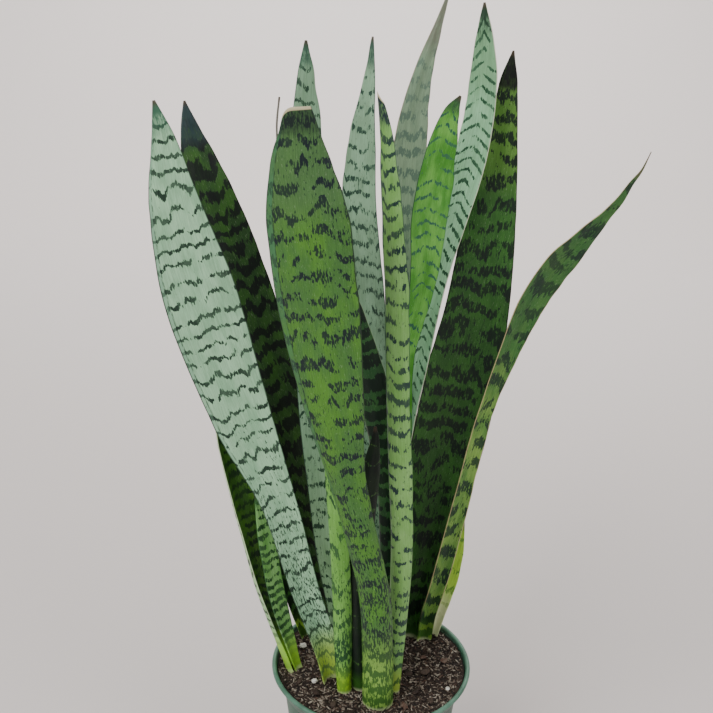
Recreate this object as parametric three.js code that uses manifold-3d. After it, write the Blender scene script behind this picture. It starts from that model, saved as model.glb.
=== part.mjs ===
// A snake plant in a round plastic nursery pot: leaves, potting mix with loose bark and perlite, pot.
// Millimetres, +Z up. The origin is the centre of the pot's underside, and +Y points away from the front.
import * as THREE from 'three';
import Module from 'manifold-3d';
import { mergeVertices } from 'three/addons/utils/BufferGeometryUtils.js';

// Pot.
const POT_HEIGHT = 150;
const RIM_DIAMETER = 165;
const BASE_DIAMETER = 114;
const WALL = 1.4;
const FLOOR = 2.2;
const LIP_WIDTH = 3.8; // across the rolled bead at the top
const LIP_OVERHANG = 2; // of the bead past the collar under it
const COLLAR_HEIGHT = 13; // the flared band under the bead
const COLLAR_FLARE = 6; // how far the band leans out over that height
const SHOULDER = 1.8; // the step in from the band to the body
const FOOT_HEIGHT = 2; // the underside's ring stands this far below the floor
const FOOT_RING = 5; // width of that ring
const CENTRE_PAD_DIAMETER = 20; // flat pad in the middle of the underside, level with the ring
const DRAIN_COUNT = 6;
const DRAIN_DIAMETER = 11;
const DRAIN_EDGE = 1; // between a drain hole and the ring
const BASE_EDGE = 1; // chamfer where the body meets the ring's underside
const POT_SIDES = 48;
const DRAIN_SIDES = 16;
const BEAD_STEPS = 6; // facets round the rolled bead
const BEAD_START = -60; // degrees, from its outer underside
const BEAD_SWEEP = 300; // degrees, up over the top and down to the inner wall

// Potting mix.
const HEADSPACE = 6; // from the top of the pot down to the mix
const MIX_CLEARANCE = 0.3; // to the pot's wall and floor
const FOOT_DEPTH = 20; // how far a leaf goes down into the mix
const POCKET_CLEARANCE = 0.5; // round the buried foot of a leaf
const MARGIN_CLEARANCE_SHARE = 1.2; // a pocket is this much wider still at the blade's thin margins
const SEAT_GAP = 0.3; // between a loose chip and the mix under it

// Leaves. The clump below was drawn for this mix radius and this tallest leaf, and follows both sizes.
const DRAWN_MIX_RADIUS = 77.78;
const DRAWN_PLANT_HEIGHT = 532;
const PLANT_HEIGHT = 532; // the tallest leaf above the mix
const BLADE_THICKNESS = 3.2; // at the middle of a blade, which thins to nothing at its margins
const FULL_THICKNESS_HALF_WIDTH = 6; // a narrower stretch, as at the tip, is thinner in proportion
const FOOT_TUCK = 0.88; // how far a buried foot lies from the pot's axis, as a share of its place above
const BLADE_STEPS = 20; // rings along a leaf
const BLADE_SIDES = 8; // points round a leaf

const potRadius = RIM_DIAMETER / 2;
const baseRadius = BASE_DIAMETER / 2;
const collarTop = potRadius - LIP_OVERHANG;
const collarFoot = collarTop - COLLAR_FLARE;
const collarTopZ = POT_HEIGHT - LIP_WIDTH;
const collarFootZ = collarTopZ - COLLAR_HEIGHT;
const bodyTop = collarFoot - SHOULDER;
const bodyTopZ = collarFootZ - SHOULDER;
const floorTopZ = FOOT_HEIGHT + FLOOR;
const mixTopZ = POT_HEIGHT - HEADSPACE;

const group = new THREE.Group();
const wasm = await Module();
wasm.setup();

function material(color, roughness) {
  return new THREE.MeshStandardMaterial({ color, roughness, metalness: 0 });
}

// A closed three.js geometry as a manifold-3d solid.
function solidOf(geometry) {
  const bare = geometry.clone();
  bare.deleteAttribute('normal');
  bare.deleteAttribute('uv');
  const merged = mergeVertices(bare, 1e-4);
  const vertProperties = new Float32Array(merged.attributes.position.array);
  const triVerts = new Uint32Array(merged.index.array);
  return new wasm.Manifold(new wasm.Mesh({ numProp: 3, vertProperties, triVerts }));
}

// A manifold-3d solid as a three.js geometry.
function geometryOf(solid) {
  const mesh = solid.getMesh();
  const geometry = new THREE.BufferGeometry();
  geometry.setAttribute('position', new THREE.BufferAttribute(mesh.vertProperties, 3));
  geometry.setIndex(new THREE.BufferAttribute(mesh.triVerts, 1));
  geometry.computeVertexNormals();
  return geometry;
}

function addPiece(name, geometry, surface) {
  const mesh = new THREE.Mesh(geometry, surface);
  mesh.name = name;
  group.add(mesh);
  return mesh;
}

// A turned solid about +Z from [radius, z] points that start and end on the axis, bottom first.
function turned(points) {
  const outline = points.map(([radius, z]) => new THREE.Vector2(radius, z));
  return solidOf(new THREE.LatheGeometry(outline, POT_SIDES).rotateX(Math.PI / 2));
}

// The pot's inner wall at a height, for what fills it.
function innerRadius(z) {
  if (z > collarFootZ) {
    return collarFoot - WALL + (COLLAR_FLARE * (z - collarFootZ)) / COLLAR_HEIGHT;
  }
  const rise = THREE.MathUtils.clamp((z - floorTopZ) / (bodyTopZ - floorTopZ), 0, 1);
  return THREE.MathUtils.lerp(baseRadius, bodyTop, rise) - WALL;
}

// ---- Pot: tapered body, flared collar, rolled bead, ring foot and drain holes in the bottom corner.
function makePot() {
  const bead = LIP_WIDTH / 2;
  const beadCentre = potRadius - bead;
  const beadArc = [];
  for (let step = 0; step <= BEAD_STEPS; step += 1) {
    const angle = THREE.MathUtils.degToRad(BEAD_START + (step * BEAD_SWEEP) / BEAD_STEPS);
    beadArc.push([
      beadCentre + bead * Math.cos(angle),
      POT_HEIGHT - bead + bead * Math.sin(angle),
    ]);
  }
  const shell = turned([
    [0, FOOT_HEIGHT],
    [baseRadius - FOOT_RING, FOOT_HEIGHT],
    [baseRadius - FOOT_RING, 0],
    [baseRadius - BASE_EDGE, 0],
    [baseRadius, BASE_EDGE],
    [bodyTop, bodyTopZ],
    [collarFoot, collarFootZ],
    [collarTop, collarTopZ],
    ...beadArc,
    [collarTop - WALL, collarTopZ],
    [collarFoot - WALL, collarFootZ],
    [bodyTop - WALL, bodyTopZ],
    [baseRadius - WALL, floorTopZ],
    [0, floorTopZ],
  ]);
  const padRadius = CENTRE_PAD_DIAMETER / 2;
  const pad = wasm.Manifold.cylinder(FOOT_HEIGHT + FLOOR / 2, padRadius, padRadius, POT_SIDES);
  const drainRadius = DRAIN_DIAMETER / 2;
  let pot = shell.add(pad);
  for (let drain = 0; drain < DRAIN_COUNT; drain += 1) {
    const hole = wasm.Manifold.cylinder(floorTopZ * 3, drainRadius, drainRadius, DRAIN_SIDES)
      .translate([baseRadius - FOOT_RING - DRAIN_EDGE - drainRadius, 0, -floorTopZ])
      .rotate([0, 0, ((drain + 0.5) * 360) / DRAIN_COUNT]);
    pot = pot.subtract(hole);
  }
  return pot;
}
addPiece('pot', geometryOf(makePot()), material(0x2a4f3e, 0.42));

// ---- Leaves. Each row of a path is [x, y, height above the mix, width], from the foot to the tip.
// facing: degrees of the hollow side about +Z at the foot and at the tip, with -90 at the front.
// arc: degrees of the blade's curl at the foot and at the tip.
const LEAVES = [
  {
    name: 'leaf_left_tall_pale',
    color: 0xa8c4aa,
    facing: [-60, -80],
    arc: [150, 30],
    path: [
      [-34, -16, 0, 16], [-41, -11, 31, 20], [-57, -4, 78, 23], [-77, 3, 150, 28], [-104, 9, 218, 45],
      [-133, 16, 308, 55], [-153, 22, 384, 37], [-159, 26, 428, 17], [-165, 28, 454, 2],
    ],
  },
  {
    name: 'leaf_left_tall_dark',
    color: 0x2c4a35,
    facing: [-90, -70],
    arc: [150, 30],
    path: [
      [-36, 32, 0, 14], [-42, 38, 41, 15], [-56, 48, 100, 23], [-72, 56, 168, 31], [-87, 64, 230, 43],
      [-109, 73, 296, 48], [-126, 80, 346, 45], [-143, 88, 398, 31], [-151, 92, 427, 15],
      [-155, 95, 448, 2],
    ],
  },
  {
    name: 'leaf_left_low_folded',
    color: 0x7ea06a,
    facing: [-10, -50],
    arc: [160, 120],
    path: [
      [-69, -3, 0, 16], [-79, 4, 26, 18], [-93, 10, 77, 30], [-105, 19, 139, 36], [-117, 28, 189, 31],
      [-126, 33, 221, 17], [-131, 35, 238, 2],
    ],
  },
  {
    name: 'leaf_left_small_dotted',
    color: 0x9dbb86,
    facing: [-30, -60],
    arc: [140, 60],
    path: [
      [-62, -5, 0, 8], [-69, -5, 27, 11], [-76, -3, 54, 14], [-81, 0, 78, 15], [-86, 4, 109, 15],
      [-91, 8, 131, 10], [-96, 12, 152, 2],
    ],
  },
  {
    name: 'leaf_left_back_dark',
    color: 0x375a3c,
    facing: [-60, -80],
    arc: [150, 40],
    path: [
      [-56, 40, 0, 12], [-66, 46, 28, 14], [-84, 58, 95, 24], [-101, 69, 150, 26], [-117, 76, 184, 18],
      [-127, 80, 206, 8], [-131, 82, 217, 2],
    ],
  },
  {
    name: 'leaf_back_tall_mint',
    color: 0x8fb08f,
    facing: [-100, -50],
    arc: [150, 30],
    path: [
      [-25, 14, 0, 12], [-28, 20, 36, 15], [-37, 30, 91, 21], [-43, 38, 151, 28], [-49, 46, 206, 33],
      [-53, 56, 286, 38], [-58, 66, 371, 34], [-60, 73, 438, 27], [-60, 77, 472, 15],
      [-60, 79, 495, 2],
    ],
  },
  {
    name: 'leaf_front_small_light',
    color: 0x86b566,
    facing: [100, 80],
    arc: [140, 50],
    path: [
      [-21, -36, 0, 11], [-23, -31, 36, 14], [-25, -26, 81, 15], [-28, -20, 126, 15],
      [-34, -12, 181, 12], [-38, -8, 211, 2],
    ],
  },
  {
    name: 'leaf_front_broad',
    color: 0x55803e,
    facing: [90, 80],
    arc: [150, 30],
    path: [
      [5, -54, 0, 24], [4, -51, 41, 24], [0, -49, 95, 24], [-11, -48, 145, 24], [-23, -47, 195, 28],
      [-34, -47, 255, 45], [-46, -46, 331, 58], [-52, -46, 381, 58], [-57, -45, 421, 42],
      [-58, -45, 443, 28], [-60, -45, 459, 20],
    ],
  },
  {
    name: 'leaf_front_banded',
    color: 0x3c5a3a,
    facing: [80, 100],
    arc: [150, 50],
    path: [
      [-9, -32, 0, 14], [-12, -27, 36, 15], [-13, -20, 91, 18], [-10, -13, 141, 20], [-5, -8, 181, 16],
      [-2, -6, 208, 7], [-2, -5, 220, 2],
    ],
  },
  {
    name: 'leaf_front_narrow',
    color: 0x7fa858,
    facing: [80, 40],
    arc: [150, 40],
    path: [
      [17, -34, 0, 10], [18, -30, 48, 14], [19, -26, 126, 18], [15, -20, 196, 21], [11, -15, 266, 23],
      [8, -9, 336, 25], [3, -5, 396, 20], [-2, -1, 444, 11], [-6, 0, 466, 5],
    ],
  },
  {
    name: 'leaf_middle_leaning',
    color: 0x2f4f38,
    facing: [100, 70],
    arc: [150, 40],
    path: [
      [16, 21, 0, 14], [16, 23, 36, 15], [14, 26, 91, 16], [11, 29, 146, 18], [3, 31, 198, 22],
      [-8, 31, 246, 26], [-24, 30, 293, 26], [-42, 27, 341, 20], [-61, 22, 384, 10], [-74, 19, 413, 4],
      [-77, 18, 436, 1.6], [-75, 18, 459, 1.6],
    ],
  },
  {
    name: 'leaf_back_tall_grey',
    color: 0x8aa58c,
    facing: [-90, -130],
    arc: [150, 30],
    path: [
      [-3, 48, 0, 14], [0, 54, 46, 17], [0, 64, 118, 25], [-4, 72, 186, 34], [-9, 79, 251, 42],
      [-14, 85, 316, 41], [-17, 90, 381, 36], [-15, 94, 426, 25], [-12, 97, 461, 13],
      [-10, 100, 498, 2],
    ],
  },
  {
    name: 'leaf_back_tallest',
    color: 0x7d8f74,
    facing: [-90, -60],
    arc: [150, 30],
    path: [
      [14, 60, 0, 12], [17, 68, 46, 14], [19, 78, 114, 20], [20, 88, 196, 28], [20, 98, 286, 34],
      [19, 110, 376, 36], [23, 117, 431, 29], [31, 123, 474, 16], [41, 127, 506, 8], [49, 130, 532, 2],
    ],
  },
  {
    name: 'leaf_back_bright',
    color: 0x6fa852,
    facing: [-90, -60],
    arc: [150, 30],
    path: [
      [20, 6, 0, 11], [22, 9, 58, 11], [20, 14, 148, 12], [20, 19, 207, 13], [20, 24, 264, 13],
      [24, 27, 291, 17], [29, 30, 313, 20], [32, 33, 341, 27], [33, 36, 368, 32], [37, 40, 395, 33],
      [41, 43, 422, 26], [48, 45, 449, 14], [54, 46, 460, 2],
    ],
  },
  {
    name: 'leaf_back_pale_mint',
    color: 0x9cbf9f,
    facing: [-90, -130],
    arc: [150, 40],
    path: [
      [21, 38, 0, 10], [19, 42, 56, 9], [18, 44, 132, 11], [24, 47, 204, 15], [33, 51, 254, 16],
      [41, 54, 306, 19], [47, 56, 335, 21], [55, 58, 364, 24], [62, 61, 392, 28], [68, 63, 420, 29],
      [72, 65, 447, 27], [73, 66, 474, 24], [72, 67, 500, 15], [70, 69, 524, 2],
    ],
  },
  {
    name: 'leaf_right_broad_banded',
    color: 0x3d6a38,
    facing: [-90, -100],
    arc: [150, 30],
    path: [
      [34, 44, 0, 13], [37, 47, 36, 20], [44, 52, 79, 30], [51, 57, 128, 46], [59, 61, 175, 59],
      [69, 64, 234, 60], [78, 67, 290, 50], [84, 69, 342, 42], [89, 71, 397, 28], [91, 72, 443, 19],
      [92, 73, 469, 13.5], [93, 73, 484, 5], [94, 73, 495, 1.6],
    ],
  },
  {
    name: 'leaf_right_outward',
    color: 0x3f7336,
    facing: [-80, -60],
    arc: [150, 50],
    path: [
      [46, 40, 0, 12], [48, 38, 25, 13], [54, 37, 52, 14], [60, 37, 82, 15], [67, 38, 118, 15],
      [74, 40, 154, 14], [80, 42, 185, 14], [88, 44, 220, 14], [101, 47, 261, 18], [116, 52, 301, 26],
      [135, 57, 332, 28], [156, 61, 362, 19.5], [175, 64, 384, 9], [191, 66, 399, 4.5],
      [203, 68, 420, 1.6],
    ],
  },
  {
    name: 'leaf_right_low_yellow',
    color: 0xa9c23c,
    facing: [-110, -90],
    arc: [140, 50],
    path: [
      [55, 45, 0, 9], [60, 48, 19, 10], [64, 50, 36, 12], [69, 52, 53, 12], [72, 53, 75, 12],
      [75, 54, 92, 7], [77, 55, 107, 2],
    ],
  },
];

// Loose pieces on top of the mix: [x, y, length, turn in degrees].
const BARK_CHIPS = [
  [44, -10, 12, 20], [31, -12, 12, -50], [62, 6, 10, 80], [44, 10, 9, 40], [36, -34, 10, -20],
  [47, -45, 9, 65], [26, -52, 10, 10], [-30, -52, 10, -35], [-44, -38, 11, 50], [-58, -24, 9, -10],
  [-18, -8, 9, 30], [-24, 60, 10, 70], [28, 64, 9, -25], [-2, 12, 10, 15],
];
const PERLITE_GRAINS = [
  [-58, 22, 7, 0], [-46, -24, 6, 40], [2, -14, 5, 20], [62, -30, 5, 75], [-12, 66, 6, 10],
];

// What the leaves were drawn for, against what this pot and this plant measure.
const mixRadius = innerRadius(mixTopZ) - MIX_CLEARANCE;
const spread = mixRadius / DRAWN_MIX_RADIUS;
const growth = PLANT_HEIGHT / DRAWN_PLANT_HEIGHT;

// A value that eases from the foot of a leaf to its tip.
function eased([foot, tip], along) {
  return THREE.MathUtils.lerp(foot, tip, THREE.MathUtils.smoothstep(along, 0.05, 0.75));
}

// A leaf as a solid: a capped cylinder whose rings are laid on the blade's cross-section, which is
// thick in the middle, thin at both margins and curled round the hollow side.
function makeLeaf(leaf, clearance) {
  const [footX, footY, , footWidth] = leaf.path[0];
  const buried = [footX * FOOT_TUCK, footY * FOOT_TUCK, 0, footWidth];
  const rows = [buried, ...leaf.path];
  const places = rows.map(([x, y, height]) => (
    new THREE.Vector3(x * spread, y * spread, mixTopZ + height * growth)
  ));
  places[0].z -= FOOT_DEPTH + clearance;
  const spine = new THREE.CatmullRomCurve3(places);
  const breadth = new THREE.CatmullRomCurve3(
    rows.map((row) => new THREE.Vector3(row[3] * spread, 0, 0)),
  );
  const blade = new THREE.CylinderGeometry(1, 1, 1, BLADE_SIDES, BLADE_STEPS);
  const position = blade.attributes.position;
  const hollow = new THREE.Vector3();
  const sideways = new THREE.Vector3();

  for (let index = 0; index < position.count; index += 1) {
    const across = position.getX(index);
    const side = position.getZ(index);
    const along = position.getY(index) + 0.5;

    const place = spine.getPoint(along);
    const tangent = spine.getTangent(along);
    const facing = THREE.MathUtils.degToRad(eased(leaf.facing, along));
    hollow.set(Math.cos(facing), Math.sin(facing), 0);
    hollow.addScaledVector(tangent, -hollow.dot(tangent)).normalize();
    sideways.crossVectors(hollow, tangent);

    const halfWidth = breadth.getPoint(along).x / 2;
    const halfArc = THREE.MathUtils.degToRad(eased(leaf.arc, along) / 2);
    const curl = halfWidth / Math.sin(halfArc);
    const fullness = Math.min(1, halfWidth / FULL_THICKNESS_HALF_WIDTH);
    const lift = side * ((BLADE_THICKNESS / 2) * fullness + clearance);
    const turn = across * (halfArc + (MARGIN_CLEARANCE_SHARE * clearance) / curl);

    place.addScaledVector(sideways, (curl + lift) * Math.sin(turn));
    place.addScaledVector(hollow, curl - (curl + lift) * Math.cos(turn));
    position.setXYZ(index, place.x, place.y, place.z);
  }
  return solidOf(blade);
}

let pockets = null;
for (const leaf of LEAVES) {
  addPiece(leaf.name, geometryOf(makeLeaf(leaf, 0)), material(leaf.color, 0.45));
  const pocket = makeLeaf(leaf, POCKET_CLEARANCE * spread);
  pockets = pockets ? pockets.add(pocket) : pocket;
}

// ---- Potting mix: it fills the pot to the headspace, with a pocket round each leaf's foot.
const mixFloorZ = floorTopZ + MIX_CLEARANCE;
const mix = turned([
  [0, mixFloorZ],
  [innerRadius(mixFloorZ) - MIX_CLEARANCE, mixFloorZ],
  [innerRadius(bodyTopZ) - MIX_CLEARANCE, bodyTopZ],
  [innerRadius(collarFootZ) - MIX_CLEARANCE, collarFootZ],
  [mixRadius, mixTopZ],
  [0, mixTopZ],
]);
addPiece('potting_mix', geometryOf(mix.subtract(pockets)), material(0x3a2e2a, 0.95));

// ---- Loose bark and perlite on the mix.
function addLoosePieces(prefix, places, geometry, color, [breadthShare, heightShare]) {
  places.forEach(([x, y, length, turn], index) => {
    const piece = geometry.clone();
    piece.scale(length / 2, (length / 2) * breadthShare, (length / 2) * heightShare);
    piece.rotateZ(THREE.MathUtils.degToRad(turn));
    piece.computeBoundingBox();
    const mesh = addPiece(`${prefix}_${index + 1}`, piece, material(color, 0.9));
    mesh.position.set(x * spread, y * spread, mixTopZ + SEAT_GAP - piece.boundingBox.min.z);
  });
}
addLoosePieces('bark_chip', BARK_CHIPS, new THREE.DodecahedronGeometry(1), 0x5a4436, [0.6, 0.35]);
addLoosePieces('perlite_grain', PERLITE_GRAINS, new THREE.IcosahedronGeometry(1, 1), 0xd9d6cc, [0.8, 0.6]);

export default group;
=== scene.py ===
"""A snake plant in a round plastic nursery pot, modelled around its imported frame. Metres, +Z up."""
import math
import random

import bmesh
import bpy
from mathutils import Matrix, Vector, noise


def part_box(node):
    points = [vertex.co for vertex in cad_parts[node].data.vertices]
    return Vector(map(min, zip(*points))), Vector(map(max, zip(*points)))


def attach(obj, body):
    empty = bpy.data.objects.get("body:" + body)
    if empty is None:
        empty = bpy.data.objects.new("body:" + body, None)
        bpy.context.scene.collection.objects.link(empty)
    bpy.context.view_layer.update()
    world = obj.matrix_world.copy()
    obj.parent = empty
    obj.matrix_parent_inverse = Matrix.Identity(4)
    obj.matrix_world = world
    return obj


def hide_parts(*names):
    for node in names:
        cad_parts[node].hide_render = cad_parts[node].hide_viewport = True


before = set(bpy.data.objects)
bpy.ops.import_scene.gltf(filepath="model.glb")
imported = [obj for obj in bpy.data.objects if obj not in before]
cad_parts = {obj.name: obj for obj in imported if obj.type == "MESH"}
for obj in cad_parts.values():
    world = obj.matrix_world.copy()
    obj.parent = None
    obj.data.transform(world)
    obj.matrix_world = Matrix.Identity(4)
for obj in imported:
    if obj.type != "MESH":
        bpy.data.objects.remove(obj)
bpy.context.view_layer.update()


# ---- Pot
# A thin injection-moulded nursery pot in dark green plastic: a tapered body, a flared collar and a
# rolled bead at the rim. It stands on a ring foot and a centre pad, and drains through its floor.
MM = 0.001


def paint(code):
    """A colour from its six-digit hexadecimal code, as the linear values that a shader takes."""
    channels = [int(code[start:start + 2], 16) / 255 for start in (0, 2, 4)]
    return tuple(((c + 0.055) / 1.055) ** 2.4 if c > 0.04045 else c / 12.92 for c in channels) + (1.0,)


class Value:
    """A socket of a finish; arithmetic on it adds Math nodes."""

    def __init__(self, finish, socket):
        self.finish = finish
        self.socket = socket

    def math(self, operation, *values):
        inputs = dict(enumerate(values))
        return self.finish.node("ShaderNodeMath", {"operation": operation}, inputs)

    def __add__(self, other):
        return self.math("ADD", self, other)

    def __radd__(self, other):
        return self.math("ADD", other, self)

    def __sub__(self, other):
        return self.math("SUBTRACT", self, other)

    def __rsub__(self, other):
        return self.math("SUBTRACT", other, self)

    def __mul__(self, other):
        return self.math("MULTIPLY", self, other)

    def __rmul__(self, other):
        return self.math("MULTIPLY", other, self)

    def __truediv__(self, other):
        return self.math("DIVIDE", self, other)

    def __abs__(self):
        return self.math("ABSOLUTE", self)

    def fraction(self):
        return self.math("FRACT", self)

    def at_least(self, other):
        return self.math("MAXIMUM", self, other)

    def at_most(self, other):
        return self.math("MINIMUM", self, other)


class Finish:
    """A procedural material: constants go on its shader, and what varies is built with node()."""

    def __init__(self, name, **constants):
        self.material = bpy.data.materials.new(name)
        self.material.use_nodes = True
        self.tree = self.material.node_tree
        self.shader = self.tree.nodes["Principled BSDF"]
        for socket, value in constants.items():
            self.shader.inputs[socket.replace("_", " ")].default_value = value

    def node(self, kind, settings=None, inputs=None, output=0):
        made = self.tree.nodes.new(kind)
        for name, value in (settings or {}).items():
            if name == "stops":
                ramp = made.color_ramp.elements
                while len(ramp) < len(value):
                    ramp.new(1.0)
                for stop, (position, colour) in zip(ramp, value):
                    stop.position = position
                    stop.color = colour
            else:
                setattr(made, name, value)
        for name, value in (inputs or {}).items():
            if isinstance(value, Value):
                self.tree.links.new(value.socket, made.inputs[name])
            else:
                made.inputs[name].default_value = value
        return Value(self, made.outputs[output])

    def place(self):
        return self.node("ShaderNodeTexCoord", output="Object")

    def attribute(self, name, output="Vector"):
        return self.node("ShaderNodeAttribute", {"attribute_name": name}, output=output)

    def axis(self, vector, letter):
        return self.node("ShaderNodeSeparateXYZ", inputs={0: vector}, output=letter)

    def stretched(self, vector, scale, shift=(0.0, 0.0, 0.0)):
        settings = {"operation": "MULTIPLY_ADD"}
        return self.node("ShaderNodeVectorMath", settings, {0: vector, 1: scale, 2: shift})

    def noise(self, vector, scale=1.0, detail=3.0, roughness=0.55):
        inputs = {"Vector": vector, "Scale": scale, "Detail": detail, "Roughness": roughness}
        return self.node("ShaderNodeTexNoise", None, inputs)

    def rise(self, value, low, high, to_low=0.0, to_high=1.0):
        """Eases from to_low to to_high as the value goes from low to high, and stays there."""
        settings = {"interpolation_type": "SMOOTHSTEP"}
        inputs = {"Value": value, "From Min": low, "From Max": high, "To Min": to_low, "To Max": to_high}
        return self.node("ShaderNodeMapRange", settings, inputs)

    def blend(self, factor, first, second, kind="MIX"):
        """Mixes two colours; the first shows where the factor is 0."""
        settings = {"data_type": "RGBA", "blend_type": kind}
        return self.node("ShaderNodeMix", settings, {0: factor, 6: first, 7: second}, output=2)

    def bump(self, height, distance, strength=1.0, under=None):
        inputs = {"Height": height, "Distance": distance, "Strength": strength}
        if under:
            inputs["Normal"] = under
        return self.node("ShaderNodeBump", None, inputs)

    def set(self, **links):
        for socket, value in links.items():
            self.tree.links.new(value.socket, self.shader.inputs[socket.replace("_", " ")])


def add_piece(mesh, name, finish, slot, *nodes):
    """A finished mesh becomes a piece of the plant that stands for its CAD nodes."""
    for face in mesh.faces:
        face.smooth = True
    data = bpy.data.meshes.new(name)
    mesh.to_mesh(data)
    mesh.free()
    piece = bpy.data.objects.new(name, data)
    bpy.context.scene.collection.objects.link(piece)
    piece.data.materials.append(finish.material)
    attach(piece, "root")
    if nodes:
        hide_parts(*nodes)
    return piece


def spun(outline, steps):
    """A bmesh turned about +Z from (radius, height) points that start and end on the axis."""
    mesh = bmesh.new()
    path = [mesh.verts.new((radius, 0.0, height)) for radius, height in outline]
    edges = [mesh.edges.new(pair) for pair in zip(path, path[1:])]
    bmesh.ops.spin(mesh, geom=path + edges, cent=(0, 0, 0), axis=(0, 0, 1),
                   angle=math.tau, steps=steps, use_merge=True)
    bmesh.ops.remove_doubles(mesh, verts=mesh.verts, dist=1e-6)
    bmesh.ops.recalc_face_normals(mesh, faces=mesh.faces)
    return mesh


pot_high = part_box("pot")[1]
mix_low, mix_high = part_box("potting_mix")
pot_height = pot_high.z
pot_radius = pot_high.x
mix_top = mix_high.z
mix_radius = mix_high.x

base_radius = 57 * MM
wall = 1.4 * MM
lip_width = 3.8 * MM
collar_top = pot_radius - 2 * MM
collar_foot = collar_top - 6 * MM
body_top = collar_foot - 1.8 * MM
collar_top_z = pot_height - lip_width
collar_foot_z = collar_top_z - 13 * MM
body_top_z = collar_foot_z - 1.8 * MM
foot_height = 2 * MM
floor_top = 4.2 * MM
ring_width = 5 * MM
pad_radius = 10 * MM
drain_radius = 5.5 * MM
drain_count = 6
corner_radius = 0.7 * MM
bead_start = -60
bead_sweep = 300
bead_steps = 14


def rounded(corner, before, after, radius, steps=4):
    """Points of an arc that rounds an outline's corner, as a quadratic curve."""
    corner, before, after = Vector(corner), Vector(before), Vector(after)
    start = corner + (before - corner).normalized() * radius
    end = corner + (after - corner).normalized() * radius
    points = []
    for step in range(steps + 1):
        share = step / steps
        points.append(start.lerp(corner, share).lerp(corner.lerp(end, share), share))
    return [tuple(point) for point in points]


def rounded_outline(points, radius):
    inner = []
    for before, corner, after in zip(points, points[1:], points[2:]):
        inner.extend(rounded(corner, before, after, radius))
    return [points[0], *inner, points[-1]]


bead = lip_width / 2
bead_arc = []
for step in range(bead_steps + 1):
    turn = math.radians(bead_start + step * bead_sweep / bead_steps)
    bead_arc.append((pot_radius - bead + bead * math.cos(turn), pot_height - bead + bead * math.sin(turn)))

outside = rounded_outline([
    (pad_radius + 1 * MM, foot_height),
    (base_radius - ring_width, foot_height),
    (base_radius - ring_width, 0),
    (base_radius, 0),
    (body_top, body_top_z),
    (collar_foot, collar_foot_z),
    (collar_top, collar_top_z),
    bead_arc[0],
], corner_radius)
inside = rounded_outline([
    (collar_top - wall, collar_top_z),
    (collar_foot - wall, collar_foot_z),
    (body_top - wall, body_top_z),
    (base_radius - wall, floor_top),
    (0, floor_top),
], corner_radius)
underside = [(0, 0), (pad_radius - 0.5 * MM, 0), (pad_radius, 0.5 * MM), (pad_radius, foot_height)]
pot_mesh = spun(underside + outside[:-1] + bead_arc + inside, 144)

drains = bmesh.new()
for index in range(drain_count):
    turn = math.radians((index + 0.5) * 360 / drain_count)
    reach = base_radius - ring_width - 1 * MM - drain_radius
    where = Matrix.Translation((reach * math.cos(turn), reach * math.sin(turn), floor_top / 2))
    bmesh.ops.create_cone(drains, cap_ends=True, segments=32, radius1=drain_radius, radius2=drain_radius,
                          depth=floor_top * 3, matrix=where)
drain_data = bpy.data.meshes.new("drain_cutter")
drains.to_mesh(drain_data)
drains.free()
cutter = bpy.data.objects.new("drain_cutter", drain_data)
bpy.context.scene.collection.objects.link(cutter)
whole_data = bpy.data.meshes.new("pot_whole")
pot_mesh.to_mesh(whole_data)
pot_mesh.free()
whole = bpy.data.objects.new("pot_whole", whole_data)
bpy.context.scene.collection.objects.link(whole)
cut = whole.modifiers.new("drains", "BOOLEAN")
cut.operation = "DIFFERENCE"
cut.object = cutter
cut.solver = "EXACT"
bpy.context.view_layer.update()
drilled = bmesh.new()
drilled.from_object(whole, bpy.context.evaluated_depsgraph_get())
bpy.data.objects.remove(whole)
bpy.data.objects.remove(cutter)

plastic = Finish("pot_plastic", Specular_IOR_Level=0.5)
spot = plastic.place()
height = plastic.axis(spot, "Z")
cloudy = plastic.noise(spot, 22, 4)
scuffs = plastic.noise(plastic.stretched(spot, (1, 1, 0.25)), 420, 4, 0.7)
specks = plastic.noise(spot, 900, 2)
green = plastic.blend(plastic.rise(cloudy, 0.35, 0.7), paint("1F4634"), paint("2D5A45"))
dusty = plastic.blend(plastic.rise(scuffs, 0.55, 0.8, 0, 0.35), green, paint("6F8F7E"))
# Painted highlight: a paler sage band on the top few millimetres of the rolled rim bead, where light
# catches the lip, broken up by noise.
rim_highlight_mask = plastic.rise(height, pot_height - 5 * MM, pot_height - 1 * MM)
patchy_highlight = plastic.rise(plastic.noise(spot, 60, 3), 0.3, 0.7, 0.35, 0.8)
rim_highlighted = plastic.blend(rim_highlight_mask * patchy_highlight, dusty, paint("5F8B74"))
soil_splash = plastic.rise(height, mix_top + 7 * MM, mix_top + 1 * MM) * plastic.rise(specks, 0.55, 0.65)
plastic.set(
    Base_Color=plastic.blend(soil_splash * 0.6, rim_highlighted, paint("2A211C")),
    Roughness=0.34 + cloudy * 0.12 + scuffs * 0.16,
    Normal=plastic.bump(scuffs, 0.06 * MM, 0.6, plastic.bump(cloudy, 0.4 * MM, 0.4)),
)
add_piece(drilled, "pot_shell", plastic, "pot", "pot")


# ---- Potting mix
# Damp, shredded bark and coir, filled to just under the rim and lightly settled in the pot.
# Its surface is a rough ground of crumbs that the loose pieces of the next section lie on.
wall_gap = 0.4 * MM
mix_outline = [(0, mix_low.z), (base_radius - wall - wall_gap, mix_low.z)]
mix_outline.append((body_top - wall - wall_gap, body_top_z))
mix_outline.append((mix_radius, mix_top - 1.5 * MM))
surface_rings = 90
surface_depth = 0.8 * MM
for ring in range(surface_rings + 1):
    mix_outline.append((mix_radius * (1 - ring / surface_rings), mix_top))
ground = spun(mix_outline, 240)


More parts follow.
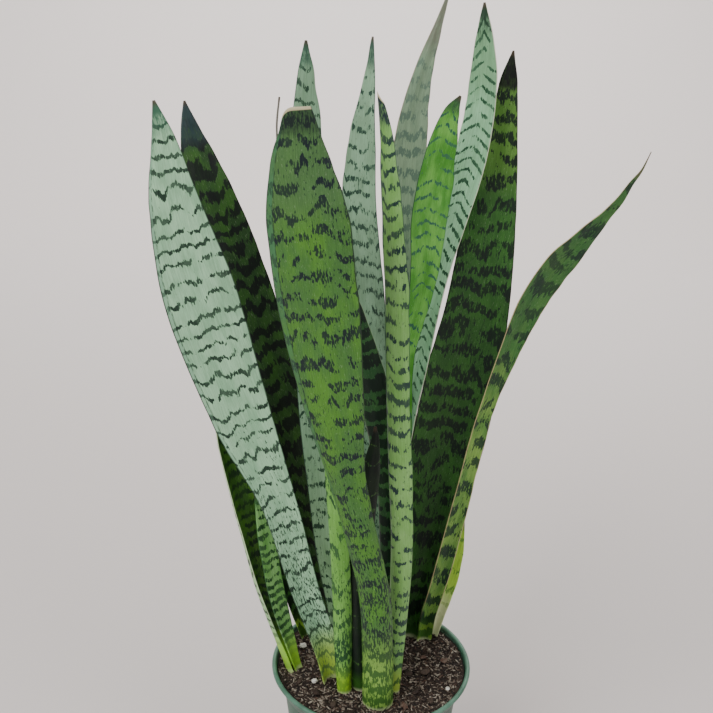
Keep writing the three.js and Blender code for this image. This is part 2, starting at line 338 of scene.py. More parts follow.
def crumbs(x, y):
    """The height of the rough surface over its mean level; it is banked up a little at the wall."""
    where = Vector((x, y, 0))
    bank = max(0.0, where.length / mix_radius - 0.75) ** 2 * 40
    swell = noise.noise(where * 35) * 1.6
    lumps = noise.noise(where * 130) * 1.1
    grain = noise.noise(where * 420) * 0.7
    return (swell + lumps + grain + bank) * MM


for vert in ground.verts:
    if vert.co.z > mix_top - 0.5 * MM:
        vert.co.z = mix_top - surface_depth + crumbs(vert.co.x, vert.co.y)

earth = Finish("damp_bark_mix", Specular_IOR_Level=0.35)
spot = earth.place()
coarse = earth.noise(spot, 240, 4, 0.65)
fine = earth.noise(spot, 900, 4, 0.7)
fibre = earth.noise(earth.stretched(spot, (1, 0.35, 1)), 1300, 3)
dark = earth.blend(earth.rise(coarse, 0.35, 0.65), paint("16110E"), paint("3B2C24"))
flecked = earth.blend(earth.rise(fine, 0.6, 0.72), dark, paint("7A6553"))
earth.set(
    Base_Color=earth.blend(earth.rise(fibre, 0.66, 0.74, 0, 0.7), flecked, paint("A8957F")),
    Roughness=earth.rise(coarse, 0.3, 0.7, 0.7, 0.98),
    Normal=earth.bump(fine, 0.8 * MM, 0.9, earth.bump(coarse, 1.2 * MM, 0.8)),
)
add_piece(ground, "mix_ground", earth, "potting_mix", "potting_mix")


# ---- Loose bark and perlite
# Chips and shreds of pine bark lie all over the mix, with a few white puffed perlite grains. The
# larger pieces stand for the frame's own; the small litter between them is one piece.
def ball(level):
    """The points and triangles of an icosphere of radius 1."""
    made = bmesh.new()
    bmesh.ops.create_icosphere(made, subdivisions=level, radius=1.0)
    made.verts.index_update()
    points = [vert.co.copy() for vert in made.verts]
    triangles = [[vert.index for vert in face.verts] for face in made.faces]
    made.free()
    return points, triangles


def add_fragment(mesh, shape, tone, centre, size, turn, roughness, seed):
    """Adds one rough fragment: a ball, squashed, jagged, turned and put in its place."""
    points, triangles = shape
    tone_layer = mesh.verts.layers.float["tone"]
    away = Vector((seed * 7.3, seed * 3.1, seed * 1.7))
    rotation = turn.to_matrix()
    made = []
    for point in points:
        push = 1 + roughness * noise.noise(point * 1.6 + away)
        push += 0.4 * roughness * noise.noise(point * 5 + away)
        shaped = Vector((point.x * size[0], point.y * size[1], point.z * size[2])) * push
        made.append(mesh.verts.new(centre + rotation @ shaped))
        made[-1][tone_layer] = tone
    for triangle in triangles:
        mesh.faces.new([made[index] for index in triangle])


def tilted(draw, lean):
    """A turn to any side about the upright, with a small random lean."""
    turn = Matrix.Rotation(draw.uniform(0, math.tau), 4, "Z") @ Matrix.Rotation(draw.gauss(0, lean), 4, "X")
    return (turn @ Matrix.Rotation(draw.gauss(0, lean), 4, "Y")).to_quaternion()


draw = random.Random(41)
bark = Finish("bark_chips", Specular_IOR_Level=0.35)
spot = bark.place()
tone = bark.attribute("tone", "Fac")
grain = bark.noise(bark.stretched(spot, (1, 0.3, 1)), 900, 4, 0.65)
patches = bark.noise(spot, 300, 3)
shades = {"stops": [
    (0.0, paint("17110E")), (0.25, paint("30241D")), (0.42, paint("55463A")), (0.5, paint("5C4033")),
    (0.58, paint("7A6C5E")), (0.78, paint("978A7A")), (1.0, paint("C9BFAE")),
]}
body_tone = bark.node("ShaderNodeValToRGB", shades, {0: tone + (patches - 0.5) * 0.25})
shadowed = bark.blend(0.45, body_tone, paint("1C1512"))
bark.set(
    Base_Color=bark.blend(bark.rise(grain, 0.35, 0.68), shadowed, body_tone),
    Roughness=bark.rise(patches, 0.3, 0.7, 0.65, 0.95),
    Normal=bark.bump(grain, 0.5 * MM, 0.9),
)

coarse_ball = ball(1)
fine_ball = ball(3)

shred_count = 5600
chip_count = 14
grain_count = 5
shred_lengths = (1.0, 1.5, 2.0, 2.8, 3.6, 4.6)
dark_share = 0.52

litter = bmesh.new()
litter.verts.layers.float.new("tone")
for index in range(shred_count):
    reach = (mix_radius - 1.5 * MM) * math.sqrt(draw.random())
    turn = draw.uniform(0, math.tau)
    x, y = reach * math.cos(turn), reach * math.sin(turn)
    length = draw.choice(shred_lengths) * draw.uniform(0.7, 1.1) * MM
    breadth = draw.uniform(0.35, 1.0) * MM
    size = (length, breadth, breadth * draw.uniform(0.35, 0.8))
    surface = mix_top - surface_depth + crumbs(x, y)
    centre = Vector((x, y, surface + size[2] * draw.uniform(-0.2, 0.8)))
    tone = draw.uniform(0.05, 0.4) if draw.random() < dark_share else draw.uniform(0.48, 0.92)
    add_fragment(litter, coarse_ball, tone, centre, size, tilted(draw, 0.35), 0.6, index)
add_piece(litter, "bark_litter", bark, "bark")

for index in range(chip_count):
    chip_name = f"bark_chip_{index + 1}"
    low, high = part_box(chip_name)
    chip = bmesh.new()
    chip.verts.layers.float.new("tone")
    span = (high - low) / 2
    centre = (low + high) / 2 - Vector((0, 0, 0.4 * MM))
    size = (span.x * 0.95, span.y * 0.7, span.z * 0.75)
    tone = draw.choice((0.28, 0.36, 0.42, 0.52))
    add_fragment(chip, fine_ball, tone, centre, size, tilted(draw, 0.06), 0.45, index)
    add_piece(chip, chip_name + "_rough", bark, "bark", chip_name)

puffed = Finish("puffed_perlite", Specular_IOR_Level=0.4)
spot = puffed.place()
pores = puffed.noise(spot, 1100, 3)
soiled = puffed.noise(spot, 260, 3)
puffed.set(
    Base_Color=puffed.blend(puffed.rise(soiled, 0.5, 0.75, 0, 0.7), paint("DAD6CB"), paint("8A7C6C")),
    Roughness=puffed.rise(pores, 0.3, 0.7, 0.75, 0.95),
    Normal=puffed.bump(pores, 0.5 * MM, 0.8),
)
for index in range(grain_count):
    grain_name = f"perlite_grain_{index + 1}"
    low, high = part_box(grain_name)
    grain_mesh = bmesh.new()
    grain_mesh.verts.layers.float.new("tone")
    centre = (low + high) / 2 - Vector((0, 0, 0.5 * MM))
    size = tuple((high - low) * 0.45)
    add_fragment(grain_mesh, fine_ball, 1.0, centre, size, tilted(draw, 0.05), 0.4, index + 60)
    add_piece(grain_mesh, grain_name + "_puffed", puffed, "perlite", grain_name)


# ---- Leaves
# Stiff, succulent blades that rise from the mix: thick in the middle, thin at both margins and
# curled round a hollow side, with cross bands of dark green on a paler waxy ground.
# Each row of a path is (x, y, height above the mix, width) in millimetres, from foot to tip. facing
# and arc are degrees at the foot and higher up; lengths, spacing and sway are millimetres.
LEAVES = {
    "leaf_left_tall_pale": dict(
        facing=(-60, -80), arc=(150, 30),
        path=[(-34, -16, 0, 16), (-41, -11, 31, 20), (-57, -4, 78, 23), (-77, 3, 150, 28),
              (-104, 9, 218, 45), (-133, 16, 308, 55), (-152.6, 22, 384, 36.6), (-159, 26, 428, 17),
              (-165, 28, 454, 2)],
        ground="9CC6A0", patch="88B48E", bands="10281C", foot="A9CC4C", foot_length=44, clean_foot=0.3,
        spacing=13, thick=0.2, sway=4.5, ragged=2, solid=0.16, gaps=0.35, chevron=0, speckle=0.5, busy=1.15,
        tip="2F5A44", tip_length=26, tip_edge=0.8, strip=(1, 0.12, "7FA88A"), margin="1E2A20"),
    "leaf_left_tall_dark": dict(
        facing=(-90, -70), arc=(150, 30),
        path=[(-36, 32, 0, 14), (-42, 38, 41, 15), (-56, 48, 100, 23), (-72, 56, 168, 31),
              (-87, 64, 230, 43), (-109, 73, 296, 48), (-126, 80, 346, 45), (-143, 88, 398, 31),
              (-151, 92, 427, 15), (-155, 95, 448, 2)],
        ground="213F19", patch="32581E", bands="060B09", foot="4C7A35", foot_length=20, spacing=17,
        thick=0.36, sway=6, ragged=3, solid=0.2, gaps=0.2, chevron=0, speckle=0.3, tip="26383A",
        tip_length=36, margin="0F120E"),
    "leaf_left_low_folded": dict(
        facing=(-10, -50), arc=(160, 120),
        path=[(-69, -3, 0, 16), (-79, 4, 26, 18), (-93, 10, 77, 30), (-105, 19, 139, 36),
              (-117, 28, 189, 31), (-126, 33, 221, 17), (-131, 35, 238, 2)],
        ground="4C7A24", patch="3A6420", bands="16301A", foot="93C63A", foot_length=40, clean_foot=0.9,
        outer="9CC68A", spacing=9, thick=0.34, sway=3, ragged=2.4, solid=0.2, gaps=0.3, chevron=0,
        speckle=0.75, busy=0.5, tip="3F6A3C", tip_length=8, margin="C8D8B0"),
    "leaf_left_small_dotted": dict(
        facing=(-30, -60), arc=(140, 60),
        path=[(-62, -5, 0, 8), (-69, -5, 27, 11), (-76, -3, 54, 14), (-81, 0, 78, 15),
              (-86, 4, 109, 15), (-91, 8, 131, 10), (-96, 12, 152, 2)],
        ground="7FB068", patch="649A4C", bands="173A1E", foot="93C63A", foot_length=34, clean_foot=0.9,
        spacing=7, thick=0.34, sway=2, ragged=1.5, solid=0.15, gaps=0.4, chevron=0, speckle=0.7, busy=0.3,
        tip="3F6A3C", tip_length=12, margin="2F5A30"),
    "leaf_left_back_dark": dict(
        facing=(-60, -80), arc=(150, 40),
        path=[(-56, 40, 0, 12), (-66, 46, 28, 14), (-84, 58, 95, 24), (-101, 69, 150, 26),
              (-117, 76, 184, 18), (-127, 80, 206, 8), (-131, 82, 217, 2)],
        ground="2C5222", patch="3A682C", bands="0C1A10", foot="9CC44C", foot_length=24, spacing=14,
        thick=0.5, sway=4, ragged=2, solid=0.25, gaps=0.3, chevron=0, speckle=0.3, tip="141F18",
        tip_length=10, margin="141A12"),
    "leaf_back_tall_mint": dict(
        facing=(-100, -50), arc=(150, 30),
        path=[(-25, 14, 0, 12), (-28, 20, 36, 15), (-37, 30, 91, 21), (-43, 38, 151, 28),
              (-49, 46, 206, 33), (-53, 56, 286, 38), (-58, 66, 371, 34), (-60, 73, 438, 27),
              (-60, 77, 472, 15), (-60, 79, 495, 2)],
        ground="98BE92", patch="8AB082", bands="173A28", foot="A9C47C", foot_length=16, spacing=11,
        thick=0.22, sway=3, ragged=2, solid=0.12, gaps=0.5, chevron=-3, speckle=0.75, busy=0.4,
        tip="2B5440", tip_length=20, margin="284234", crown=(330, "7A9E80")),
    "leaf_front_small_light": dict(
        facing=(100, 80), arc=(140, 50),
        path=[(-21, -36, 0, 11), (-23, -31, 36, 14), (-25, -26, 81, 15), (-28, -20, 126, 15),
              (-34, -12, 181, 12), (-38, -8, 211, 2)],
        ground="74AA50", patch="62983E", bands="1C4424", foot="8FBF2A", foot_length=22, clean_foot=0.6,
        spacing=14, thick=0.24, sway=5, ragged=2.2, solid=0.12, gaps=0.5, chevron=-5, speckle=0.9,
        busy=0.85, tip="447434", tip_length=12, margin="28491F"),
    "leaf_front_broad": dict(
        facing=(90, 80), arc=(150, 30), blunt=True,
        path=[(5, -54, 0, 24), (4, -51, 41, 24), (0, -49, 95, 24), (-11, -48, 145, 24),
              (-23, -47, 195, 28), (-34, -47, 255, 45), (-46, -46, 331, 58), (-52, -46, 381, 58),
              (-57, -45, 421, 42), (-58, -45, 443, 28), (-60, -45, 459, 20)],
        ground="3F6A30", patch="4B7C28", bands="0E1A20", foot="7DA548", foot_length=70, spacing=15,
        thick=0.3, sway=5, ragged=3.2, solid=0.1, gaps=0.55, chevron=0, speckle=0.85, busy=0.8,
        crown=(70, "44663A"), tip="101E1A", tip_length=20, tip_edge=0.6, strip=(-1, 0.2, "3E6E48"),
        margin="1C2A20", cut=(7, 1)),
    "leaf_front_banded": dict(
        facing=(80, 100), arc=(150, 50),
        path=[(-9, -32, 0, 14), (-12, -27, 36, 15), (-13, -20, 91, 18), (-10, -13, 141, 20),
              (-5, -8, 181, 16), (-2, -6, 208, 7), (-2, -5, 220, 2)],
        ground="2C4C22", patch="406628", bands="0A1610", foot="4E7E34", foot_length=12, spacing=13,
        thick=0.6, sway=3, ragged=1.4, solid=0.3, gaps=0.1, chevron=0, speckle=0.2, tip="0C1410",
        tip_length=14, margin="0C120E"),
    "leaf_front_narrow": dict(
        facing=(80, 40), arc=(150, 40), blunt=True,
        path=[(17, -34, 0, 10), (18, -30, 48, 14), (19, -26, 126, 18), (15, -20, 196, 21),
              (11, -15, 266, 23), (8, -9, 336, 25), (3, -5, 396, 20), (-2, -1, 444, 11),
              (-6, 0, 466, 5)],
        ground="7DA962", patch="70A052", bands="152A30", foot="9CB848", foot_length=24, spacing=12,
        thick=0.26, sway=4, ragged=2.6, solid=0.14, gaps=0.45, chevron=-2, speckle=0.75, busy=0.35,
        tip="1C2C30", tip_length=24, strip=(-1, 0.3, "3C5A5C"), margin="2A3E38", cut=(0, 8)),
    "leaf_middle_leaning": dict(
        facing=(100, 70), arc=(150, 40),
        path=[(16, 21, 0, 14), (16, 23, 36, 15), (14, 26, 91, 16), (11, 29, 146, 18), (3, 31, 198, 22),
              (-8, 31, 246, 26), (-24, 30, 293, 26), (-42, 27, 341, 20), (-61, 22, 384, 10),
              (-74, 19, 413, 4), (-77, 18, 436, 1.6), (-75, 18, 459, 1.6)],
        ground="28502A", patch="356230", bands="0E1E16", foot="5C8A3A", foot_length=16, spacing=14,
        thick=0.45, sway=3, ragged=2, solid=0.2, gaps=0.3, chevron=0, speckle=0.4, tip="6E6A62",
        tip_length=60, strip=(-1, 0.2, "7E9A72"), margin="8FA67C"),
    "leaf_back_tall_grey": dict(
        facing=(-90, -130), arc=(150, 30),
        path=[(-3, 48, 0, 14), (0, 54, 46, 17), (0, 64, 118, 25), (-3, 72, 186, 37), (-8, 79, 251, 46),
              (-13, 85, 316, 43), (-17, 90, 381, 36), (-15, 94, 426, 25), (-12, 97, 461, 13),
              (-10, 100, 498, 2)],
        ground="86AA8A", patch="78997A", bands="1A382C", foot="8FB060", foot_length=16, spacing=13,
        thick=0.2, sway=4, ragged=2.4, solid=0.1, gaps=0.5, chevron=0, speckle=0.9, busy=0.3,
        tip="2F4E40", tip_length=24, margin="35503F"),
    "leaf_back_tallest": dict(
        facing=(-90, -60), arc=(150, 30),
        path=[(14, 60, 0, 12), (17, 68, 46, 14), (19, 78, 114, 20), (20, 88, 196, 28),
              (20, 98, 286, 34), (19, 110, 376, 36), (23, 117, 431, 29), (31, 123, 474, 16),
              (41, 127, 506, 8), (49, 129.8, 532, 2)],
        ground="8AA284", patch="7B9478", bands="5C7464", foot="8FB060", foot_length=16, spacing=14,
        thick=0.3, sway=4, ragged=3, solid=0.1, gaps=0.4, chevron=0, speckle=0.7, tip="7A7E6C",
        tip_length=50, margin="8A7E62"),
    "leaf_back_bright": dict(
        facing=(-90, -60), arc=(150, 30),
        path=[(20, 6, 0, 11), (22, 9, 58, 11), (20, 14, 148, 12), (20, 19, 207, 13), (20, 24, 264, 13),
              (24, 27, 291, 17), (29, 30, 313, 20), (32, 33, 341, 27), (33, 36, 368, 32),
              (37, 40, 395, 33), (41, 43, 422, 26), (48, 45, 449, 14), (54, 46, 460, 2)],
        ground="67AA44", patch="3E8622", bands="235446", foot="8FB060", foot_length=16, spacing=10,
        thick=0.17, sway=2.5, ragged=1.8, solid=0.1, gaps=0.5, chevron=7, speckle=0.45, busy=0.2,
        tip="2C5230", tip_length=14, margin="1E4428"),
    "leaf_back_pale_mint": dict(
        facing=(-90, -130), arc=(150, 40),
        path=[(21, 38, 0, 10), (19, 42, 56, 9), (18, 44, 132, 11), (24, 47, 204, 15),
              (33, 51, 254, 16), (41, 54, 306, 19), (47, 56, 335, 21), (55, 58, 364, 24),
              (62, 61, 392, 28), (68, 63, 420, 29), (72, 65, 447, 27), (73, 66, 474, 24),
              (72, 67, 500, 15), (70, 69, 524, 2)],
        ground="92C49A", patch="80B286", bands="164028", foot="9DBE5C", foot_length=16, spacing=9,
        thick=0.22, sway=1.5, ragged=1.5, solid=0.14, gaps=0.45, chevron=8, speckle=0.6, busy=0.15,
        crown=(62, "6E9A70"), tip="12301C", tip_length=28, tip_edge=0.8, margin="C6CBB0"),
    "leaf_right_broad_banded": dict(
        facing=(-90, -100), arc=(150, 30),
        path=[(34, 44, 0, 13), (37, 47, 36, 20), (44, 52, 79, 30), (51, 57, 128, 46),
              (59, 61, 175, 59), (69, 64, 234, 60), (78, 67, 290, 51), (83, 69, 342, 44),
              (88, 71, 397, 31), (91, 72, 443, 19), (92, 73, 469, 13.5), (93, 73, 482, 6),
              (94, 73, 491, 1.6)],
        ground="2A5420", patch="356426", bands="0C1A14", foot="33592A", foot_length=12, spacing=17,
        thick=0.4, sway=6, ragged=4.5, solid=0.12, gaps=0.45, chevron=0, speckle=0.85,
        crown=(90, "5A8434"), tip="060706", tip_length=27, tip_edge=0.12, margin="14200F"),
    "leaf_right_outward": dict(
        facing=(-80, -60), arc=(150, 50),
        path=[(46, 40, 0, 12), (48, 38, 25, 13), (54, 37, 52, 14), (60, 37, 82, 15), (67, 38, 118, 15),
              (74, 40, 154, 14), (80, 42, 185, 14), (88, 44, 220, 14), (101, 47, 261, 18),
              (116, 52, 301, 26), (135, 57, 331, 28), (149, 60, 346, 23), (160, 61, 359, 18),
              (171, 63, 371, 10.5), (182, 64, 384, 7.5), (190, 66, 396, 5), (197, 67, 406, 2.2),
              (203, 68, 420, 0.8)],
        ground="4F7A34", patch="769A46", bands="142C1E", foot="6F9438", foot_length=20, spacing=20,
        thick=0.34, sway=5, ragged=4, solid=0.14, gaps=0.45, chevron=0, speckle=0.9,
        crown=(200, "245628"), tip="5E5640", tip_length=24, margin="B9A67C"),
    "leaf_right_low_yellow": dict(
        facing=(-110, -90), arc=(140, 50),
        path=[(55, 45, 0, 9), (60, 48, 19, 10), (64, 50, 36, 12), (69, 52, 53, 12), (72, 53, 75, 12),
              (75, 54, 92, 7), (77, 55, 107, 2)],
        ground="9CC63C", patch="86B02E", bands="4E7E2A", foot="E2E4B4", foot_length=46, clean_foot=0.9,
        spacing=14, thick=0.2, sway=3, ragged=2, solid=0.06, gaps=0.9, chevron=0, speckle=0.3, tip="5C7C2C",
        tip_length=10, margin="B8CC5C"),
}

buried_depth = 20
foot_tuck = 0.88
blade_thickness = 3.2
full_thickness_half_width = 6
wavy_from = 60
wavy_over = 150
cut_length = 30
crease_width = 0.12
rings = 150
points_round = 36


def curve_point(rows, along):
    """A centripetal Catmull-Rom curve through the rows' points, and its direction, at 0 to 1."""
    last = len(rows) - 1
    index = min(int(along * last), last - 1)
    share = along * last - index
    start, end = rows[index], rows[index + 1]
    before = rows[index - 1] if index > 0 else start * 2 - end
    after = rows[index + 2] if index + 2 <= last else end * 2 - start
    gap_in, gap, gap_out = (max((b - a).length, 1e-6) ** 0.5
                            for a, b in ((before, start), (start, end), (end, after)))
    leave = ((start - before) / gap_in - (end - before) / (gap_in + gap) + (end - start) / gap) * gap
    arrive = ((end - start) / gap - (after - start) / (gap + gap_out) + (after - end) / gap_out) * gap
    square, cube = share ** 2, share ** 3
    place = (start * (2 * cube - 3 * square + 1) + leave * (cube - 2 * square + share)
             + end * (3 * square - 2 * cube) + arrive * (cube - square))
    slope = (start * (6 * square - 6 * share) + leave * (3 * square - 4 * share + 1)
             + end * (6 * share - 6 * square) + arrive * (3 * square - 2 * share))
    return place, slope


def eased(pair, along):
    """Goes from the pair's first value near the foot to its second towards the tip."""
    share = min(max((along - 0.05) / 0.7, 0), 1)
    return pair[0] + (pair[1] - pair[0]) * share * share * (3 - 2 * share)


def blade_mesh(leaf, seed):
    """A leaf's closed skin: a grid whose first side runs round the section and whose second side
    runs from foot to tip. It carries where each point lies on the blade, in millimetres."""
    foot_x, foot_y, _, foot_width = leaf["path"][0]
    rows = [(foot_x * foot_tuck, foot_y * foot_tuck, -buried_depth, foot_width), *leaf["path"]]
    spine = [Vector((x, y, mix_top / MM + height)) for x, y, height, _ in rows]
    breadth = [Vector((width, 0, 0)) for _, _, _, width in rows]
    mesh = bmesh.new()
    bmesh.ops.create_grid(mesh, x_segments=points_round, y_segments=rings, size=0.5)
    blade_place = mesh.verts.layers.float_vector.new("blade")
    blade_share = mesh.verts.layers.float_vector.new("share")
    stations = {}
    travelled = -buried_depth
    earlier = None
    for ring in range(rings + 1):
        along = ring / rings
        place, slope = curve_point(spine, along)
        if earlier:
            travelled += (place - earlier).length
        earlier = place
        half_width = curve_point(breadth, along)[0].x / 2
        stations[ring] = (along, place, slope.normalized(), half_width, travelled)
    length = travelled

    for vert in mesh.verts:
        ring = round((vert.co.y + 0.5) * rings)
        angle = (vert.co.x + 0.5) * math.tau
        across, side = math.cos(angle), math.sin(angle)
        along, place, tangent, half_width, travelled = stations[ring]
        facing = math.radians(eased(leaf["facing"], along))
        hollow = Vector((math.cos(facing), math.sin(facing), 0))
        hollow = (hollow - tangent * hollow.dot(tangent)).normalized()
        sideways = hollow.cross(tangent)
        half_arc = math.radians(eased(leaf["arc"], along) / 2)
        upper = min(max((travelled - wavy_from) / wavy_over, 0), 1)
        edge_noise = noise.noise(Vector((travelled / 17, math.copysign(3, across), seed)))
        half_width = max(half_width + edge_noise * 0.5 * upper * abs(across) ** 6, 0.25)
        curl = half_width / math.sin(half_arc)
        fullness = min(1.0, half_width / full_thickness_half_width)
        to_end = length - travelled
        if leaf.get("blunt"):
            fullness *= 0.35 + 0.65 * min(1, to_end / cut_length)
        lift = side * (blade_thickness / 2 * fullness)
        turn = across * half_arc
        ripple = noise.noise(Vector((travelled / 42, across * 1.3, seed + 9))) * 1.3 * upper * fullness
        ripple += edge_noise * 0.9 * upper * abs(across) ** 3 * fullness
        crease = -0.35 * fullness * math.exp(-(across / crease_width) ** 2) * (0.4 + 0.6 * upper)
        left_drop, right_drop = leaf.get("cut", (0, 0))
        drop = left_drop * max(0, -across) ** 3 + right_drop * (1 + across) / 2
        place = place - tangent * drop * max(0, 1 - to_end / cut_length) ** 2
        vert.co = (place + sideways * (curl + lift) * math.sin(turn)
                   + hollow * (curl - (curl + lift) * math.cos(turn) + ripple + crease)) * MM
        vert[blade_place] = Vector((turn * curl, travelled, side))
        vert[blade_share] = Vector((across, travelled / length, length))
    bmesh.ops.remove_doubles(mesh, verts=mesh.verts, dist=0.02 * MM)
    open_edges = [edge for edge in mesh.edges if edge.is_boundary]
    bmesh.ops.holes_fill(mesh, edges=open_edges, sides=0)
    bmesh.ops.triangulate(mesh, faces=[face for face in mesh.faces if len(face.verts) > 4])
    bmesh.ops.recalc_face_normals(mesh, faces=mesh.faces)
    return mesh, length


def leaf_finish(name, leaf, length, seed):
    """The waxy, banded skin of one leaf."""
    skin = Finish(name + "_skin", Specular_IOR_Level=0.26, Coat_Weight=0.03, Coat_Roughness=0.35)
    blade = skin.attribute("blade")
    share = skin.attribute("share")
    across, along, side = (skin.axis(blade, letter) for letter in "XYZ")
    edge = abs(skin.axis(share, "X"))
    flat = skin.stretched(blade, (1, 1, 0), (0, 0, seed * 31.7))
    to_tip = length - along
    grown = along / length

    # The ground: long fibres, soft cloudy patches and a slow drift of tone from foot to tip.
    fibres = skin.noise(skin.stretched(flat, (1, 0.035, 1)), 1.5, 4, 0.65)
    threads = skin.noise(skin.stretched(flat, (1, 0.02, 1)), 5.0, 2, 0.5)
    clouds = skin.noise(skin.stretched(flat, (1, 0.4, 1)), 0.075, 3, 0.6)
    ground = skin.blend(skin.rise(clouds, 0.36, 0.66), paint(leaf["ground"]), paint(leaf["patch"]))
    if "outer" in leaf:
        ground = skin.blend(skin.rise(side, -0.2, 0.3), ground, paint(leaf["outer"]))
    if "crown" in leaf:
        crown_length, crown_colour = leaf["crown"]
        near_crown = skin.rise(to_tip, crown_length * 1.3, crown_length * 0.8)
        ground = skin.blend(near_crown * 0.8, ground, paint(crown_colour))
    shade = skin.rise(fibres, 0.3, 0.7, 0.84, 1.14)
    grey = skin.node("ShaderNodeCombineColor", None, {0: shade, 1: shade, 2: shade})
    ground = skin.blend(1.0, ground, grey, "MULTIPLY")
    flecks = skin.rise(skin.noise(skin.stretched(flat, (1.5, 0.3, 1)), 1.0, 3, 0.7), 0.58, 0.72)
    ground = skin.blend(flecks * 0.16, ground, paint("CFE0BC"))

    # The marks: short dark dashes along the blade, crowded into wavy bands that cross it, broken
    # where a patch has few, and thinly scattered elsewhere.
    wander = (skin.noise(skin.stretched(flat, (0.1, 0.014, 1)), 1.0, 2) - 0.5) * (5 * leaf["sway"])
    drift = (skin.noise(skin.stretched(flat, (0, 0.02, 1)), 1.0, 1) - 0.5) * (leaf["spacing"] * 1.6)
    phase = (along + wander + drift + edge * leaf["chevron"]) / leaf["spacing"]
    from_band = abs(phase.fraction() - 0.5) * leaf["spacing"]
    presence = skin.noise(skin.stretched(flat, (0.09, 0.05, 1)), 1.0, 3, 0.6)
    half_band = leaf["spacing"] * leaf["thick"] * (0.2 + presence * 1.3)
    dashes = skin.noise(skin.stretched(flat, (0.85, 0.2, 1)), 1.0, 3, 0.6)
    busy = leaf.get("busy", 0) * skin.rise(grown, 0.65, 0.12)
    broken = skin.rise(presence, 0.28 + 0.2 * leaf["gaps"], 0.42 + 0.2 * leaf["gaps"], 0.25, 0)
    broken = broken * skin.rise(along, 30, 110)
    crowding = ((half_band - from_band) * (0.3 / leaf["ragged"])).at_most(leaf["solid"] + 0.06)
    crowding = crowding - broken - busy * 0.03 + skin.rise(along, 80, 30, 0, 0.06)
    gather = skin.noise(skin.stretched(flat, (0.05, 0.035, 1)), 1.0, 2)
    scatter = (gather - 0.5) * (0.5 * leaf["speckle"]) + busy * 0.16 + (leaf["speckle"] * 0.2 - 0.24)
    near_foot = skin.rise(along + (clouds - 0.5) * 14, leaf["foot_length"] + 8, leaf["foot_length"] * 0.35)
    marks = skin.rise(dashes + crowding.at_least(scatter), 0.565, 0.615)
    marks = marks * (1 - near_foot * leaf.get("clean_foot", 0.1))
    softened = skin.blend(0.12, paint(leaf["bands"]), paint(leaf["ground"]))
    mark_colour = skin.blend(skin.rise(clouds, 0.42, 0.6), paint(leaf["bands"]), softened)
    colour = skin.blend(marks * skin.rise(threads, 0.25, 0.6, 0.88, 1.0), ground, mark_colour)

    # A strip along one margin, where the blade was creased, has a tint and a dark line of its own.
    if "strip" in leaf:
        strip_side, strip_share, strip_colour = leaf["strip"]
        inner = skin.axis(share, "X") * strip_side - (1 - strip_share) + (gather - 0.5) * 0.05
        patchy = skin.rise(presence, 0.38, 0.55, 0.15, 0.6) + skin.rise(grown, 0.55, 0.85, 0, 0.3)
        tinted = skin.rise(inner, 0, 0.03) * patchy * skin.rise(grown, 0.25, 0.5)
        colour = skin.blend(tinted * (1 - marks * 0.6), colour, paint(strip_colour))
        line = skin.rise(abs(inner), 0.03, 0.012) * skin.rise(dashes, 0.4, 0.55)
        colour = skin.blend(line * 0.7 * skin.rise(grown, 0.3, 0.5), colour, paint(leaf["bands"]))

    # The pale foot, the dark tip and the thin line along both margins.
    colour = skin.blend(near_foot * (1 - marks * 0.9), colour, paint(leaf["foot"]))
    colour = skin.blend(near_foot * marks * 0.55, colour, paint("36661F"))
    cream = skin.rise(along, 4, 0)
    colour = skin.blend(cream * 0.5, colour, paint("DCE0B4"))
    tip_edge = leaf.get("tip_edge", 0.45)
    tip_length = leaf["tip_length"]
    ragged_tip = (fibres + dashes - 1) * (30 * tip_edge)
    near_tip = skin.rise(to_tip + ragged_tip, tip_length * 1.15, tip_length * (1 - 0.7 * tip_edge))
    near_tip = near_tip * skin.rise(dashes, 0.42, 0.56, 1 - 0.75 * tip_edge, 1)
    if leaf.get("blunt"):
        dry_end = skin.rise(to_tip, 2.6, 1.6)
        dry_colour = paint("C9BE98")
    else:
        near_tip = near_tip.at_least(skin.rise(to_tip, tip_length * 0.6, tip_length * 0.3))
        dry_end = skin.rise(to_tip, 6, 0.6)
        dry_colour = paint("4A3C2E")
    colour = skin.blend(near_tip * 0.96, colour, paint(leaf["tip"]))
    colour = skin.blend(dry_end * 0.85, colour, dry_colour)
    rim = skin.rise(edge, 0.962, 0.985) * skin.rise(along, 20, 60)
    colour = skin.blend(rim * 0.85, colour, paint(leaf["margin"]))

    waxy = skin.noise(skin.stretched(flat, (0.3, 0.1, 1)), 1.0, 4)
    relief = skin.bump(fibres, 0.35 * MM, 0.55, skin.bump(waxy, 0.5 * MM, 0.3))
    skin.set(
        Base_Color=colour,
        Roughness=skin.rise(waxy, 0.3, 0.7, 0.38, 0.56) - marks * 0.05,
        Normal=skin.bump(threads, 0.12 * MM, 0.5, relief),
    )
    return skin


for seed, (leaf_name, leaf) in enumerate(LEAVES.items()):
    skin_mesh, blade_length = blade_mesh(leaf, seed)
    skin_finish = leaf_finish(leaf_name, leaf, blade_length, seed)
    add_piece(skin_mesh, leaf_name + "_blade", skin_finish, leaf_name, leaf_name)


# ---- Studio
# A plain pale floor that sweeps up into a backdrop behind the plant, and soft light from above.
floor_reach = 30.0
sweep_start = 2.5
sweep_radius = 2
sweep_steps = 24
backdrop_height = 12.0

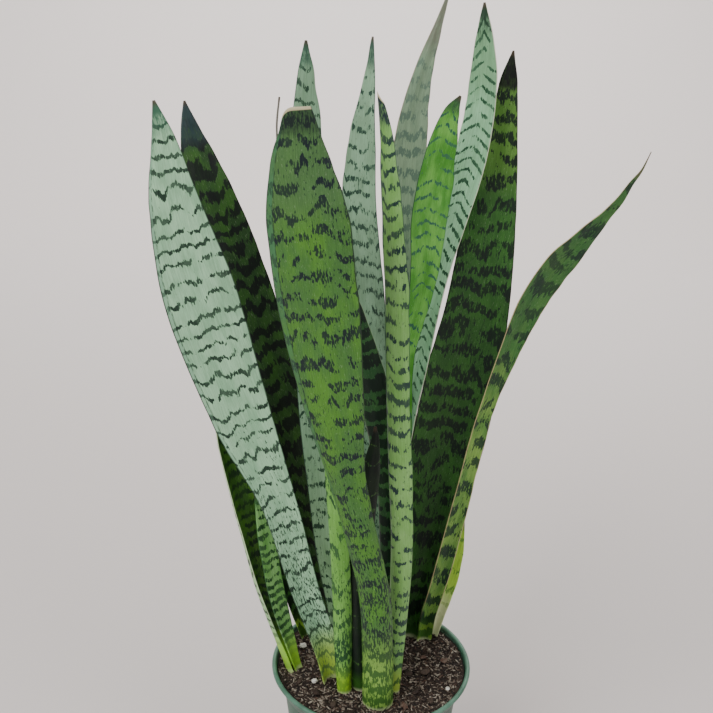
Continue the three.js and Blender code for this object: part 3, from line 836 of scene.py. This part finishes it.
floor = bmesh.new()
profile = [(-floor_reach, 0.0), (sweep_start, 0.0)]
for step in range(1, sweep_steps + 1):
    turn = math.pi / 2 * step / sweep_steps
    depth = sweep_start + sweep_radius * math.sin(turn)
    profile.append((depth, sweep_radius - sweep_radius * math.cos(turn)))
profile.append((sweep_start + sweep_radius, backdrop_height))
outline = [floor.verts.new((-floor_reach, y, z)) for y, z in profile]
edges = [floor.edges.new(pair) for pair in zip(outline, outline[1:])]
moved = bmesh.ops.extrude_edge_only(floor, edges=edges)["geom"]
far_side = [item for item in moved if isinstance(item, bmesh.types.BMVert)]
bmesh.ops.translate(floor, vec=(2 * floor_reach, 0, 0), verts=far_side)
bmesh.ops.recalc_face_normals(floor, faces=floor.faces)
for face in floor.faces:
    face.smooth = True
floor_data = bpy.data.meshes.new("studio_floor")
floor.to_mesh(floor_data)
floor.free()
studio_floor = bpy.data.objects.new("studio_floor", floor_data)
bpy.context.scene.collection.objects.link(studio_floor)
paper = Finish("studio_paper", Roughness=0.9)
paper.shader.inputs["Base Color"].default_value = paint("DCD4D0")
studio_floor.data.materials.append(paper.material)

world = bpy.data.worlds.new("studio")
bpy.context.scene.world = world
world.use_nodes = True
world.node_tree.nodes["Background"].inputs["Color"].default_value = (0.86, 0.87, 0.88, 1)
world.node_tree.nodes["Background"].inputs["Strength"].default_value = 0.7


def softbox(name, place, aim, size, power):
    light = bpy.data.lights.new(name, "AREA")
    light.shape = "RECTANGLE"
    light.size, light.size_y = size
    light.energy = power
    lamp = bpy.data.objects.new(name, light)
    lamp.location = place
    lamp.rotation_euler = (Vector(aim) - Vector(place)).to_track_quat("-Z", "Y").to_euler()
    bpy.context.scene.collection.objects.link(lamp)


softbox("key_light", (-1.3, -1.2, 1.9), (0, 0, 0.35), (1.6, 1.2), 42)
softbox("fill_light", (1.6, -1.0, 1.2), (0, 0, 0.35), (1.4, 1.4), 12)
softbox("backdrop_light", (0, 2.0, 2.8), (0, 4.4, 1.3), (4.0, 0.8), 150)
softbox("back_light", (0.4, 1.5, 1.8), (0, 0, 0.4), (1.6, 0.8), 18)

camera_data = bpy.data.cameras.new("camera")
camera_data.angle = math.radians(40)
camera_data.clip_start = 0.01
camera = bpy.data.objects.new("camera", camera_data)
camera_place = Vector((-0.0174, -0.6857, 0.6644))
camera_pitch = math.radians(19.74)
camera_roll = math.radians(1.2)
camera_tilt = Matrix.Rotation(math.pi / 2 - camera_pitch, 4, "X") @ Matrix.Rotation(camera_roll, 4, "Z")
camera.matrix_world = Matrix.Translation(camera_place) @ camera_tilt
bpy.context.scene.collection.objects.link(camera)
bpy.context.scene.camera = camera
